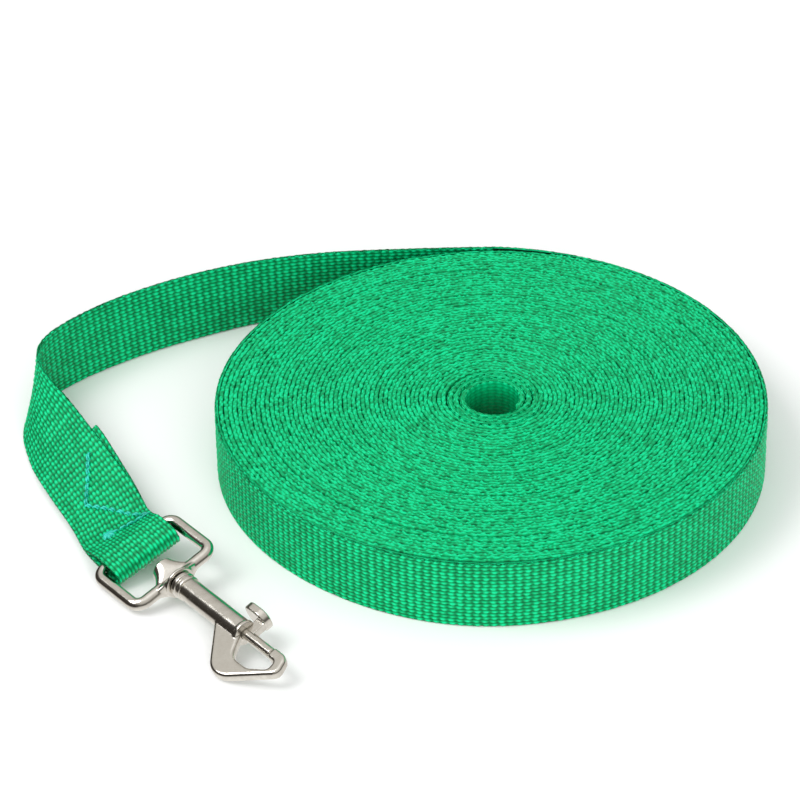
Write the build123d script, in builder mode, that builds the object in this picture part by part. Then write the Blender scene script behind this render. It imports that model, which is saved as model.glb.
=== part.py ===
from build123d import *
import os
from math import asin, cos, degrees, pi, radians, sin, sqrt, tan

# A long training leash: flat webbing wound into a roll that lies on its edge, with its free end sewn
# round the eye of a swivel bolt snap. Millimetres, +Z up, origin on the floor at the roll's axis.
# The snap's swivel axis runs along -Y.

# Webbing and roll
WEB_WIDTH = 20.0
WEB_THICKNESS = 1.15
TURN_PITCH = 1.18
ROLL_RADIUS = 74.0
HANDLE_RADIUS = 12.4
CORE_RADIUS = 6.0
LAYER_GAP = 0.04

# Handle bar tack, in the joint between the handle and the first full turn
TACK_THICKNESS = 0.8
TACK_HEIGHT = 14.0
TACK_HALF_ANGLE = 32.0

# Snap: place and proportions
SNAP_X = -102.3
SNAP_AXIS_Z = 5.8
EYE_BAR_Y = 24.6
EYE_ROLL = 16.0
HOOK_ROLL = 20.0

# Eye: bar centre lines
EYE_WIDTH = 25.0
EYE_LENGTH = 17.8
EYE_BAR_RADIUS = 1.7
EYE_CORNER = 2.8
BOSS_RADIUS = 4.4
BOSS_REACH = 2.6
SHOULDER_WIDTH = 21.0
INNER_BOSS_RADIUS = 3.3
INNER_BOSS_REACH = 5.1
HOOD_WIDTH = 16.0

# Swivel stud and barrel
SHANK_RADIUS = 1.5
SHANK_CLEARANCE = 0.08
HEAD_RADIUS = 2.3
HEAD_HEIGHT = 1.7
HEAD_GAP = 0.12
COLLAR_GAP = 0.3
COLLAR_RADIUS = 3.6
COLLAR_LENGTH = 3.2
COLLAR_GROOVE = 0.6
SPIGOT_LENGTH = 3.0
BARREL_RADIUS = 3.2
BARREL_LENGTH = 23.9
BORE_RADIUS = 2.05
NOSE_RADIUS = 1.45
RUNNING_GAP = 0.08
NOSE_HOLE_LENGTH = 3.5
MOUTH_RADIUS = 3.5
MOUTH_LENGTH = 1.1

# Hook plate, measured from the barrel's front face: side is positive towards the thumb knob
PLATE_THICKNESS = 3.0
PLATE_ROUND = 0.9
TIP_REACH = 10.6
TIP_SIDE = 1.55
HOOK_REACH = 17.4
SEAT_RADIUS = 1.75
SEAT_DEPTH = 0.6

# Bolt, thumb knob and spring
BOLT_TRAVEL = 8.5
BOLT_REACH = 10.9
GUIDE_LENGTH = 4.0
STEM_LENGTH = 3.0
STEM_FRONT = 2.6
STEM_THICKNESS = 2.2
STEM_FOOT = 0.7
SLOT_WIDTH = 2.6
SLOT_SPARE = 0.6
PAD_UNDERSIDE = 4.6
PAD_THICKNESS = 2.3
PAD_LENGTH = 8.2
PAD_FRONT = 2.7
PAD_WIDTH = 6.8
WIRE_RADIUS = 0.22
SPRING_RADIUS = 1.6
SPRING_TURNS = 8
SPRING_GAP = 0.05

# Sewn end: the loop round the eye's bar and the doubled layers behind it
LOOP_RADIUS = 2.55
LOOP_CENTRE_Y = 20.6
LOOP_STEPS = 8
OVERLAP_LENGTH = 49.0
THREAD_WIDTH = 0.9
THREAD_THICKNESS = 0.5
BLOB_SIZE = (3.4, 2.6, 0.9)

# The free strap's centre line, seen from above, from the roll to the loop round the eye
ROUTE = [
    (48.3, 56.55),
    (26.0, 74.6),
    (0.5, 91.2),
    (-26.0, 100.4),
    (-53.0, 104.6),
    (-76.5, 102.6),
    (-87.6, 92.6),
    (-91.6, 74.5),
    (-94.9, 58.5),
    (-97.8, 43.5),
    (SNAP_X + 0.4, 31.0),
    (SNAP_X, LOOP_CENTRE_Y),
]
# Lean of the strap's width from the floor at each route point: 90 stands on edge, more leans outward
LEAN = [90.0, 90.0, 93.0, 99.0, 98.0, 92.0, 72.0, 41.0, 30.0, 22.0, EYE_ROLL, EYE_ROLL]
TAIL_STEP = 6.0
OVERLAP_STEP = 4.0
# Near the eye the two layers part round the bar: distance from the loop's centre, half of the gap
# between the layers' centre lines, and how far their middle has risen to the bar's height
PARTING = [
    (0.0, LOOP_RADIUS, 1.0),
    (5.0, LOOP_RADIUS, 1.0),
    (7.0, 2.1, 0.9),
    (9.5, 1.4, 0.65),
    (12.5, 0.8, 0.3),
    (16.0, WEB_THICKNESS / 2 + LAYER_GAP, 0.0),
]
ARC_SHARE = 0.45


def between(table, position, column):
    """Straight-line value of a table's column at a position in its first column."""
    if position <= table[0][0]:
        return table[0][column]
    for low, high in zip(table, table[1:]):
        if position <= high[0]:
            share = (position - low[0]) / (high[0] - low[0])
            return low[column] + share * (high[column] - low[column])
    return table[-1][column]


def corner_radii(points):
    """Largest tangent arc at each inner route point that its two runs leave room for."""
    radii = []
    for before, corner, after in zip(points, points[1:], points[2:]):
        run_in = Vector(*corner) - Vector(*before)
        run_out = Vector(*after) - Vector(*corner)
        turn = radians(run_in.get_angle(run_out))
        radii.append(ARC_SHARE * min(run_in.length, run_out.length) / tan(turn / 2))
    return radii


route_radii = corner_radii(ROUTE)
print("route radii", [round(radius, 1) for radius in route_radii])
with BuildLine() as route:
    FilletPolyline(*ROUTE, radius=route_radii)
route_wire = route.wire()
ROUTE_LENGTH = route_wire.length

# Lean against distance along the route, each route point taken at its nearest place on the wire
lean_table = []
run_so_far = 0.0
polygon_length = sum((Vector(*b) - Vector(*a)).length for a, b in zip(ROUTE, ROUTE[1:]))
for index, lean in enumerate(LEAN):
    if index:
        run_so_far += (Vector(*ROUTE[index]) - Vector(*ROUTE[index - 1])).length
    lean_table.append((run_so_far / polygon_length * ROUTE_LENGTH, lean))


def strap_frame(distance, side=0):
    """Centre, across, along and normal of the strap; side is +1 for the upper sewn layer, -1 the lower."""
    place = route_wire.position_at(distance / ROUTE_LENGTH)
    along = route_wire.tangent_at(distance / ROUTE_LENGTH)
    lean = radians(between(lean_table, distance, 1))
    left = Vector(-along.Y, along.X, 0)
    across = left * cos(lean) + Vector(0, 0, 1) * sin(lean)
    normal = along.cross(across)
    layers = 0.5 if side == 0 else 1.0
    floor_height = WEB_WIDTH / 2 * sin(lean) + layers * WEB_THICKNESS * abs(cos(lean))
    if side == 0:
        return place + Vector(0, 0, floor_height), across, along, normal
    left_to_go = ROUTE_LENGTH - distance
    rise = between(PARTING, left_to_go, 2)
    height = floor_height + rise * (SNAP_AXIS_Z - floor_height)
    half_gap = between(PARTING, left_to_go, 1)
    return place + Vector(0, 0, height) + normal * (side * half_gap), across, along, normal


def ribbon(centres, acrosses, width, thickness):
    """Flat strip through the centres, each section square to the line through its neighbours."""
    with BuildPart() as strip:
        for index, (centre, across) in enumerate(zip(centres, acrosses)):
            ahead = centres[min(index + 1, len(centres) - 1)]
            behind = centres[max(index - 1, 0)]
            with BuildSketch(Plane(origin=centre, x_dir=across, z_dir=ahead - behind)):
                Rectangle(width, thickness)
        loft(ruled=True)
    return strip.part


def save(solid, name):
    """Label a finished piece and write its file."""
    solid.label = name
    export_step(solid, f"parts/{name}.step")
    print(name, round(solid.volume, 1), "mm3")


# Planes of the tilted eye and hook, both with their y axis on the swivel axis
eye_plane = Plane(
    origin=(SNAP_X, EYE_BAR_Y, SNAP_AXIS_Z),
    x_dir=(cos(radians(EYE_ROLL)), 0, sin(radians(EYE_ROLL))),
    z_dir=(-sin(radians(EYE_ROLL)), 0, cos(radians(EYE_ROLL))),
)
BOSS_FACE_Y = EYE_BAR_Y - EYE_LENGTH - BOSS_REACH
BARREL_REAR_Y = BOSS_FACE_Y - COLLAR_GAP - COLLAR_LENGTH
BARREL_FRONT_Y = BARREL_REAR_Y - BARREL_LENGTH
hook_plane = Plane(
    origin=(SNAP_X, BARREL_FRONT_Y, SNAP_AXIS_Z),
    x_dir=(cos(radians(HOOK_ROLL)), 0, sin(radians(HOOK_ROLL))),
    z_dir=(-sin(radians(HOOK_ROLL)), 0, cos(radians(HOOK_ROLL))),
)


def across_axis(y):
    """Plane square to the swivel axis at row position y, facing back towards the eye."""
    return Plane(origin=(SNAP_X, y, SNAP_AXIS_Z), x_dir=hook_plane.x_dir, z_dir=(0, 1, 0))


def bar_tack_block():
    """Curved block of handle stitching, between the handle's layers and the first full turn."""
    with BuildPart() as block:
        with BuildSketch(Plane.XY.offset((WEB_WIDTH - TACK_HEIGHT) / 2)):
            Circle(HANDLE_RADIUS + TACK_THICKNESS / 2)
            Circle(HANDLE_RADIUS - TACK_THICKNESS / 2, mode=Mode.SUBTRACT)
            with BuildLine():
                reach = 2 * HANDLE_RADIUS
                edge_y = reach * sin(radians(TACK_HALF_ANGLE))
                edge_x = reach * cos(radians(TACK_HALF_ANGLE))
                Polyline((0, 0), (edge_x, -edge_y), (edge_x, edge_y), close=True)
            make_face(mode=Mode.INTERSECT)
        extrude(amount=TACK_HEIGHT)
    return block.part


def wound_roll(outer, inner):
    """Closed solid of a run of tight turns, less the pocket of the handle's bar tack."""
    with BuildPart() as turns:
        with BuildSketch(Plane.XY):
            Circle(outer)
            Circle(inner, mode=Mode.SUBTRACT)
        extrude(amount=WEB_WIDTH)
        add(bar_tack_block(), mode=Mode.SUBTRACT)
    return turns.part


def strap_tail():
    """The free strap, from the roll's outer turn to the start of the sewn overlap."""
    reach = ROUTE_LENGTH - OVERLAP_LENGTH
    steps = round(reach / TAIL_STEP)
    frames = [strap_frame(reach * step / steps) for step in range(steps + 1)]
    solid = ribbon([f[0] for f in frames], [f[1] for f in frames], WEB_WIDTH, WEB_THICKNESS)
    expected = WEB_WIDTH * WEB_THICKNESS * reach
    print("tail length", round(reach, 1), "volume share", round(solid.volume / expected, 3))
    return solid


def strap_end_fold():
    """The sewn end: over the eye's bar, round its front, and back under the strap."""
    steps = round((OVERLAP_LENGTH - LOOP_RADIUS) / OVERLAP_STEP)
    start = ROUTE_LENGTH - OVERLAP_LENGTH
    distances = [start + OVERLAP_LENGTH * step / steps for step in range(steps + 1)]
    upper = [strap_frame(distance, 1) for distance in distances]
    lower = [strap_frame(distance, -1) for distance in reversed(distances)]
    middle = (upper[-1][0] + lower[0][0]) / 2
    across, along, normal = upper[-1][1:]
    centres = [f[0] for f in upper]
    acrosses = [f[1] for f in upper]
    for step in range(1, LOOP_STEPS):
        angle = pi * step / LOOP_STEPS
        centres.append(middle + normal * (LOOP_RADIUS * cos(angle)) + along * (LOOP_RADIUS * sin(angle)))
        acrosses.append(across)
    centres += [f[0] for f in lower]
    acrosses += [f[1] for f in lower]
    return ribbon(centres, acrosses, WEB_WIDTH, WEB_THICKNESS)


def thread_leg(start, end):
    """One leg of zigzag thread on the upper layer, between two (distance to the loop, across) places."""
    steps = 6
    centres = []
    for step in range(steps + 1):
        share = step / steps
        to_go = start[0] + share * (end[0] - start[0])
        side = start[1] + share * (end[1] - start[1])
        centre, across, along, normal = strap_frame(ROUTE_LENGTH - to_go, 1)
        centres.append(centre + across * side + normal * (WEB_THICKNESS / 2))
    direction = (centres[-1] - centres[0]).normalized()
    frames = [strap_frame(ROUTE_LENGTH - start[0] - (end[0] - start[0]) * s / steps, 1) for s in range(steps + 1)]
    acrosses = [f[3].cross(direction) for f in frames]
    return ribbon(centres, acrosses, THREAD_WIDTH, THREAD_THICKNESS)


def end_stitching():
    """Zigzag of thread through both layers, ended by a backtack near the eye."""
    corners = [(42.4, 5.3), (27.9, -3.6), (11.4, 8.8), (12.8, -2.7)]
    with BuildPart() as thread:
        for start, end in zip(corners, corners[1:]):
            add(thread_leg(start, end))
        centre, across, along, normal = strap_frame(ROUTE_LENGTH - corners[-1][0], 1)
        spot = centre + across * corners[-1][1] + normal * (WEB_THICKNESS / 2)
        blob_plane = Plane(origin=spot, x_dir=across, z_dir=normal)
        with Locations(blob_plane.location):
            Box(*BLOB_SIZE)
    return thread.part


def swelling(stations):
    """Smooth solid through ellipses at (distance behind the eye's near bar, half width, half height)."""
    with BuildPart() as swell:
        for behind, wide, high in stations:
            centre = eye_plane.from_local_coords(Vector(0, behind - EYE_LENGTH, 0))
            with BuildSketch(Plane(origin=centre, x_dir=eye_plane.x_dir, z_dir=(0, 1, 0))):
                Ellipse(wide, high)
        loft()
    return swell.part


def swivel_eye():
    """Round-bar frame whose near bar swells into the boss that the swivel stud turns in."""
    half = EYE_WIDTH / 2
    near = -EYE_LENGTH
    with BuildPart() as eye:
        with BuildLine(eye_plane) as bar_line:
            FilletPolyline((half, 0), (half, near), (-half, near), (-half, 0), radius=EYE_CORNER, close=True)
        with BuildSketch(Plane(origin=bar_line.wire() @ 0, z_dir=bar_line.wire() % 0)):
            Circle(EYE_BAR_RADIUS)
        sweep(path=bar_line.wire())
        shoulder = [
            (0.0, SHOULDER_WIDTH / 2, EYE_BAR_RADIUS),
            (-0.4 * BOSS_REACH, 0.36 * SHOULDER_WIDTH, 1.5 * EYE_BAR_RADIUS),
            (-0.75 * BOSS_REACH, BOSS_RADIUS, BOSS_RADIUS - 0.3),
        ]
        add(swelling(shoulder))
        hood = [
            (0.0, HOOD_WIDTH / 2, EYE_BAR_RADIUS),
            (0.42 * INNER_BOSS_REACH, 0.3 * HOOD_WIDTH, 1.6 * EYE_BAR_RADIUS),
            (INNER_BOSS_REACH, INNER_BOSS_RADIUS, INNER_BOSS_RADIUS),
        ]
        add(swelling(hood))
        front = Plane(origin=(SNAP_X, BOSS_FACE_Y, SNAP_AXIS_Z), x_dir=eye_plane.x_dir, z_dir=(0, 1, 0))
        with BuildSketch(front):
            Circle(BOSS_RADIUS)
        extrude(amount=0.3 * BOSS_REACH)
        with BuildSketch(front):
            Circle(SHANK_RADIUS + SHANK_CLEARANCE)
        extrude(amount=BOSS_REACH + INNER_BOSS_REACH, mode=Mode.SUBTRACT)
    return eye.part


def swivel_stud():
    """Peened head, shank, ringed collar and the spigot that closes the barrel, turned as one piece."""
    inner_face = BOSS_REACH + INNER_BOSS_REACH + HEAD_GAP
    rear = -COLLAR_GAP - COLLAR_LENGTH
    profile_plane = Plane(
        origin=(SNAP_X, BOSS_FACE_Y, SNAP_AXIS_Z), x_dir=hook_plane.x_dir, z_dir=hook_plane.z_dir
    )
    groove = COLLAR_LENGTH / 2
    with BuildPart() as stud:
        with BuildSketch(profile_plane):
            with BuildLine():
                crown = inner_face + HEAD_HEIGHT
                Line((0, rear - SPIGOT_LENGTH), (0, crown))
                Spline(
                    (0, crown),
                    (0.75 * HEAD_RADIUS, inner_face + 0.78 * HEAD_HEIGHT),
                    (HEAD_RADIUS, inner_face + 0.25 * HEAD_HEIGHT),
                    tangents=[(1, 0), (0, -1)],
                )
                Polyline(
                    (HEAD_RADIUS, inner_face + 0.25 * HEAD_HEIGHT),
                    (HEAD_RADIUS, inner_face),
                    (SHANK_RADIUS, inner_face),
                    (SHANK_RADIUS, -COLLAR_GAP),
                    (COLLAR_RADIUS - 0.3, -COLLAR_GAP),
                    (COLLAR_RADIUS, -COLLAR_GAP - 0.3),
                    (COLLAR_RADIUS, -COLLAR_GAP - groove + COLLAR_GROOVE / 2),
                    (COLLAR_RADIUS - 0.5, -COLLAR_GAP - groove),
                    (COLLAR_RADIUS - 0.1, -COLLAR_GAP - groove - COLLAR_GROOVE / 2),
                    (COLLAR_RADIUS - 0.1, rear + 0.3),
                    (COLLAR_RADIUS - 0.4, rear),
                    (BORE_RADIUS, rear),
                    (BORE_RADIUS, rear - SPIGOT_LENGTH),
                    (0, rear - SPIGOT_LENGTH),
                )
            make_face()
        revolve(axis=Axis((SNAP_X, 0, SNAP_AXIS_Z), (0, 1, 0)))
    return stud.part


def hook_outline():
    """Outside of the hook plate: a rounded spine, a blunt nose and the tip that the bolt closes on."""
    corners = [
        (-1.5, 10.5),
        (-15.5, -3.4),
        (-3.6, -HOOK_REACH - 0.5),
        (TIP_SIDE, -HOOK_REACH + 1.5),
        (TIP_SIDE, 6.0),
    ]
    FilletPolyline(*corners, radius=[1.2, 6.0, 2.4, 3.0, 1.2], close=True)


def snap_body():
    """Barrel with the bolt's bore and knob slot, and the flat hook plate cast on its side."""
    half_plate = PLATE_THICKNESS / 2
    with BuildPart() as body:
        with BuildSketch(hook_plane.offset(-half_plate)):
            with BuildLine():
                hook_outline()
            make_face()
            with BuildLine():
                FilletPolyline(
                    (6.0, 0.0),
                    (-1.8, -0.2),
                    (-7.4, -3.6),
                    (-7.3, -9.5),
                    (-4.2, -14.4),
                    (-1.6, -13.9),
                    (-1.6, -TIP_REACH),
                    (6.0, -TIP_REACH),
                    radius=[0.5, 1.2, 4.0, 3.4, 1.6, 1.2, 1.1, 0.5],
                    close=True,
                )
            make_face(mode=Mode.SUBTRACT)
        extrude(amount=PLATE_THICKNESS)
        rims = [edge for edge in body.edges() if abs(hook_plane.to_local_coords(edge @ 0.5).Z) > 0.99 * half_plate]
        fillet(rims, PLATE_ROUND)
        with BuildSketch(across_axis(BARREL_FRONT_Y)):
            Circle(BARREL_RADIUS)
        extrude(amount=BARREL_LENGTH)
        with BuildSketch(across_axis(BARREL_FRONT_Y)):
            Circle(MOUTH_RADIUS)
        extrude(amount=MOUTH_LENGTH)
        with BuildSketch(across_axis(BARREL_FRONT_Y + NOSE_HOLE_LENGTH)):
            Circle(BORE_RADIUS)
        extrude(amount=BARREL_LENGTH - NOSE_HOLE_LENGTH, mode=Mode.SUBTRACT)
        with BuildSketch(across_axis(BARREL_FRONT_Y - 0.5 * TIP_REACH)):
            Circle(NOSE_RADIUS + RUNNING_GAP)
        extrude(amount=0.5 * TIP_REACH + NOSE_HOLE_LENGTH, mode=Mode.SUBTRACT)
        with BuildSketch(across_axis(BARREL_FRONT_Y - TIP_REACH - SEAT_DEPTH)):
            Circle(SEAT_RADIUS)
        extrude(amount=SEAT_DEPTH + 0.5, mode=Mode.SUBTRACT)
        slot_back = BOLT_TRAVEL + STEM_LENGTH - STEM_FRONT + SLOT_SPARE
        with BuildSketch(hook_plane.offset(-SLOT_WIDTH / 2)):
            with Locations((BARREL_RADIUS, slot_back / 2 - 0.5)):
                Rectangle(2 * BARREL_RADIUS, slot_back + 1.0)
        extrude(amount=SLOT_WIDTH, mode=Mode.SUBTRACT)
    return body.part


def stem_block():
    """The knob's stem, from its foot in the bolt to the underside of the pad."""
    with BuildPart() as stem:
        with BuildSketch(hook_plane.offset(-STEM_THICKNESS / 2)):
            with Locations(((STEM_FOOT + PAD_UNDERSIDE) / 2, STEM_LENGTH / 2 - STEM_FRONT)):
                Rectangle(PAD_UNDERSIDE - STEM_FOOT, STEM_LENGTH)
        extrude(amount=STEM_THICKNESS)
    return stem.part


def bolt():
    """Sliding bolt: a nose that closes the hook and a wider guide that stops at the bore's end."""
    guide_front = BARREL_FRONT_Y + NOSE_HOLE_LENGTH + SPRING_GAP
    with BuildPart() as plunger:
        with BuildSketch(across_axis(BARREL_FRONT_Y - BOLT_REACH)):
            Circle(NOSE_RADIUS)
        extrude(amount=BOLT_REACH + NOSE_HOLE_LENGTH + SPRING_GAP)
        chamfer(plunger.edges().group_by(Axis.Y)[0], 0.35)
        with BuildSketch(across_axis(guide_front)):
            Circle(BORE_RADIUS - RUNNING_GAP)
        extrude(amount=GUIDE_LENGTH)
        add(stem_block(), mode=Mode.SUBTRACT)
    return plunger.part


def thumb_knob():
    """Stem pressed into the bolt and the oval pad that the thumb pulls back."""
    pad_plane = Plane(
        origin=hook_plane.from_local_coords(Vector(PAD_UNDERSIDE, PAD_LENGTH / 2 - PAD_FRONT, 0)),
        x_dir=(0, 1, 0),
        z_dir=hook_plane.x_dir,
    )
    with BuildPart() as knob:
        with BuildSketch(pad_plane):
            RectangleRounded(PAD_LENGTH, PAD_WIDTH, 2.9)
        extrude(amount=PAD_THICKNESS)
        fillet(knob.edges().group_by(Axis(pad_plane.origin, pad_plane.z_dir))[-1], 0.55)
        fillet(knob.edges().group_by(Axis(pad_plane.origin, pad_plane.z_dir))[0], 0.45)
        add(stem_block())
    return knob.part


def bolt_spring():
    """Compression spring in the bore, between the stud's spigot and the bolt's guide."""
    front = BARREL_FRONT_Y + NOSE_HOLE_LENGTH + SPRING_GAP + GUIDE_LENGTH + SPRING_GAP + WIRE_RADIUS
    rear = BARREL_REAR_Y - SPIGOT_LENGTH - SPRING_GAP - WIRE_RADIUS
    height = rear - front
    foot = (SNAP_X, front, SNAP_AXIS_Z)
    with BuildPart() as spring:
        with BuildLine() as coil:
            Helix(height / SPRING_TURNS, height, SPRING_RADIUS, center=foot, direction=(0, 1, 0))
        with BuildSketch(Plane(origin=coil.line @ 0, z_dir=coil.line % 0)):
            Circle(WIRE_RADIUS)
        sweep(path=coil.line, is_frenet=True)
    return spring.part


def main():
    os.makedirs("parts", exist_ok=True)
    save(wound_roll(ROLL_RADIUS, HANDLE_RADIUS), "strap_roll")
    save(wound_roll(HANDLE_RADIUS, CORE_RADIUS), "handle_roll")
    save(bar_tack_block(), "handle_stitching")
    save(strap_tail(), "strap_tail")
    save(strap_end_fold(), "strap_end_fold")
    save(end_stitching(), "end_stitching")
    save(swivel_eye(), "swivel_eye")
    save(swivel_stud(), "swivel_stud")
    save(snap_body(), "snap_body")
    save(bolt(), "bolt")
    save(thumb_knob(), "thumb_knob")
    save(bolt_spring(), "bolt_spring")
    wound = pi * (ROLL_RADIUS**2 - CORE_RADIUS**2) / TURN_PITCH
    print("webbing length", round((wound + ROUTE_LENGTH + OVERLAP_LENGTH) / 1000, 2), "m")


main()
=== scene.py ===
# %% [markdown]
# # A training leash, wound into a roll
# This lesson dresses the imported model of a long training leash: a flat green strap wound into a tight roll,
# with a plated bolt snap sewn to its free end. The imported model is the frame. It says where everything
# is and how the snap moves, and every piece made here rides on one of its bodies.

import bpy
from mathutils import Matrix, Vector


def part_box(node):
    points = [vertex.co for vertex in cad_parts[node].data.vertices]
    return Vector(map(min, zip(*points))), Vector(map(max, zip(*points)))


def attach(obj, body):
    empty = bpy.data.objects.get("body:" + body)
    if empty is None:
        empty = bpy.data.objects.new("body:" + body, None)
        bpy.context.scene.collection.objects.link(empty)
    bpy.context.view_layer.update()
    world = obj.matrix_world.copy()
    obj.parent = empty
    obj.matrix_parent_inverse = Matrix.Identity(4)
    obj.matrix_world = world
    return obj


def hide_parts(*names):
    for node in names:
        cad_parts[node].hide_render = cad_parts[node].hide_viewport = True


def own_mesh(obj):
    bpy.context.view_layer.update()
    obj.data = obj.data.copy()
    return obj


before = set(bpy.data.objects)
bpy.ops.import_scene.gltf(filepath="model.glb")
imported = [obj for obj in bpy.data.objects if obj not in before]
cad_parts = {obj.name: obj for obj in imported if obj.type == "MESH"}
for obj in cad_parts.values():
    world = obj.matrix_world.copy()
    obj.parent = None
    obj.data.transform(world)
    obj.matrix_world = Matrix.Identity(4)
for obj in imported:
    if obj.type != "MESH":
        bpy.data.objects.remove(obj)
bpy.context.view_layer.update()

import math

import bpy
import numpy as np
from mathutils import Vector

MM = 0.001

# %% [markdown]
# ## Camera
# A long lens far from the object keeps the roll's ellipse close to a true one. The aim is the middle of
# the roll's top, and a small shift places it right of the middle, which leaves room for the free end.

# %% Camera
VIEW_AZIMUTH = math.radians(-40.5)
VIEW_ELEVATION = math.radians(35.04)
VIEW_DISTANCE = 1.0404
VIEW_AIM = Vector((0, 0, 20 * MM))
SENSOR_WIDTH = 36.0
FOCAL_PER_WIDTH = 4.839
SHIFT_LEFT = -0.1171
SHIFT_DOWN = -0.0038

camera_data = bpy.data.cameras.new("camera")
camera_data.sensor_width = SENSOR_WIDTH
camera_data.lens = SENSOR_WIDTH * FOCAL_PER_WIDTH
camera_data.shift_x = SHIFT_LEFT
camera_data.shift_y = SHIFT_DOWN
camera = bpy.data.objects.new("camera", camera_data)
bpy.context.scene.collection.objects.link(camera)
view_line = Vector(
    (
        -math.sin(VIEW_AZIMUTH) * math.cos(VIEW_ELEVATION),
        math.cos(VIEW_AZIMUTH) * math.cos(VIEW_ELEVATION),
        -math.sin(VIEW_ELEVATION),
    )
)
camera.location = VIEW_AIM - view_line * VIEW_DISTANCE
camera.rotation_euler = view_line.to_track_quat("-Z", "Y").to_euler()
bpy.context.scene.camera = camera
print("camera at", [round(value, 3) for value in camera.location])

# %% [markdown]
# ## The free strap's line
# The strap leaves the roll on edge, bends round and leans over until it lies almost flat at the snap.
# Its line could be a chain of arcs, but a real strap has no sudden change of bend, so it is one NURBS curve
# with a listed row of control points. How far the strap's width leans up from the floor is a second
# list beside it, one angle for each control point, and its corners are rounded when it is read.

# %% Strap sizes and the route
WIDTH = 20.0 * MM
THICK = 1.15 * MM
ROLL_RADIUS = 74.0 * MM
PITCH = 1.18 * MM
AXIS_Z = 5.8 * MM
LOOP_RADIUS = 2.55 * MM
OVERLAP = 49.0 * MM
ROUTE = [
    (0.0483, 0.05655),
    (0.026, 0.0746),
    (0.0005, 0.0912),
    (-0.026, 0.1004),
    (-0.053, 0.1046),
    (-0.0765, 0.1026),
    (-0.0876, 0.0926),
    (-0.0916, 0.0745),
    (-0.0949, 0.0585),
    (-0.0978, 0.0435),
    (-0.1019, 0.031),
    (-0.1023, 0.0206),
]
LEAN = np.radians([90, 90, 93, 99, 98, 92, 72, 41, 30, 22, 16, 16])
LINE_ORDER = 3
LINE_FINENESS = 64


def standing_height(lean, layers=0.5):
    """Height of the strap's middle when its lower edge is on the floor."""
    return WIDTH / 2 * np.sin(lean) + layers * THICK * np.abs(np.cos(lean))


def nurbs_line(name, points):
    """Close points along the NURBS line that has these control points."""
    curve = bpy.data.curves.new(name, "CURVE")
    curve.dimensions = "3D"
    spline = curve.splines.new("NURBS")
    spline.points.add(len(points) - 1)
    for control, point in zip(spline.points, points):
        control.co = (*point, 1.0)
    spline.order_u = LINE_ORDER
    spline.use_endpoint_u = True
    spline.resolution_u = LINE_FINENESS
    carrier = bpy.data.objects.new(name, curve)
    bpy.context.scene.collection.objects.link(carrier)
    mesh = bpy.data.meshes.new_from_object(carrier)
    flat = np.zeros(len(mesh.vertices) * 3)
    mesh.vertices.foreach_get("co", flat)
    bpy.data.objects.remove(carrier)
    return flat.reshape(-1, 3)


def run_lengths(points):
    """Distance along a row of points, from its first."""
    steps = np.linalg.norm(np.diff(points, axis=0), axis=1)
    return np.concatenate([[0.0], np.cumsum(steps)])


control_points = [(x, y, float(standing_height(lean))) for (x, y), lean in zip(ROUTE, LEAN)]
strap_line = nurbs_line("strap_line", control_points)
line_length = run_lengths(strap_line)
LINE_LENGTH = line_length[-1]
control_runs = run_lengths(np.array(ROUTE))
print("free strap's line", round(LINE_LENGTH, 4), "m")


# %% [markdown]
# ## Frames along the strap
# A ribbon needs more than a line. At each place it needs which way its width runs and which way its face
# looks. These come from the line's direction and the lean. Where the strap is sewn double, two layers run
# side by side at a gap that opens towards the eye's bar, and both rise from the floor to the bar's height.

# %% Frames along the strap
LEAN_WINDOW = 16 * MM
PARTING_WINDOW = 3 * MM
PARTING_TO_GO = np.array([0, 5, 7, 9.5, 12.5, 16, OVERLAP / MM - 2, OVERLAP / MM + 8]) * MM
PARTING_GAP = np.array([2.55, 2.55, 2.2, 1.45, 0.82, 0.615, 0.615, 0.0]) * MM
PARTING_RISE = [1, 1, 0.9, 0.65, 0.3, 0, 0, 0]
PARTING_LAYERS = [1, 1, 1, 1, 1, 1, 1, 0.5]
SOFTENING_SAMPLES = 4001


def softened(positions, values, window, places):
    """Values between given positions, with their corners rounded over a window."""
    fine = np.linspace(positions[0] - window, positions[-1] + window, SOFTENING_SAMPLES)
    raw = np.interp(fine, positions, values)
    reach = max(1, int(window / (fine[1] - fine[0]) / 2))
    kernel = np.hanning(2 * reach + 3)[1:-1]
    padded = np.pad(raw, reach, mode="edge")
    return np.interp(places, fine, np.convolve(padded, kernel / kernel.sum(), mode="valid"))


def strap_frames(distances, side):
    """Centres, width directions and face directions of one layer; side is 1 for the upper, -1 the lower."""
    tangents = np.gradient(strap_line[:, :2], line_length, axis=0)
    x = np.interp(distances, line_length, strap_line[:, 0])
    y = np.interp(distances, line_length, strap_line[:, 1])
    along = np.stack(
        [
            np.interp(distances, line_length, tangents[:, 0]),
            np.interp(distances, line_length, tangents[:, 1]),
            np.zeros(len(distances)),
        ],
        axis=1,
    )
    along /= np.linalg.norm(along, axis=1)[:, None]
    positions = control_runs / control_runs[-1] * LINE_LENGTH
    lean = softened(positions, LEAN, LEAN_WINDOW, distances)
    left = np.stack([-along[:, 1], along[:, 0], np.zeros(len(distances))], axis=1)
    across = left * np.cos(lean)[:, None]
    across[:, 2] = np.sin(lean)
    face = np.cross(along, across)
    to_go = LINE_LENGTH - distances
    layers = softened(PARTING_TO_GO, PARTING_LAYERS, PARTING_WINDOW, to_go)
    gap = softened(PARTING_TO_GO, PARTING_GAP, PARTING_WINDOW, to_go)
    rise = softened(PARTING_TO_GO, PARTING_RISE, PARTING_WINDOW, to_go)
    height = standing_height(lean, layers)
    height = height + rise * (AXIS_Z - height)
    centres = np.stack([x, y, height], axis=1) + face * (side * gap)[:, None]
    return centres, across, face
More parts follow.
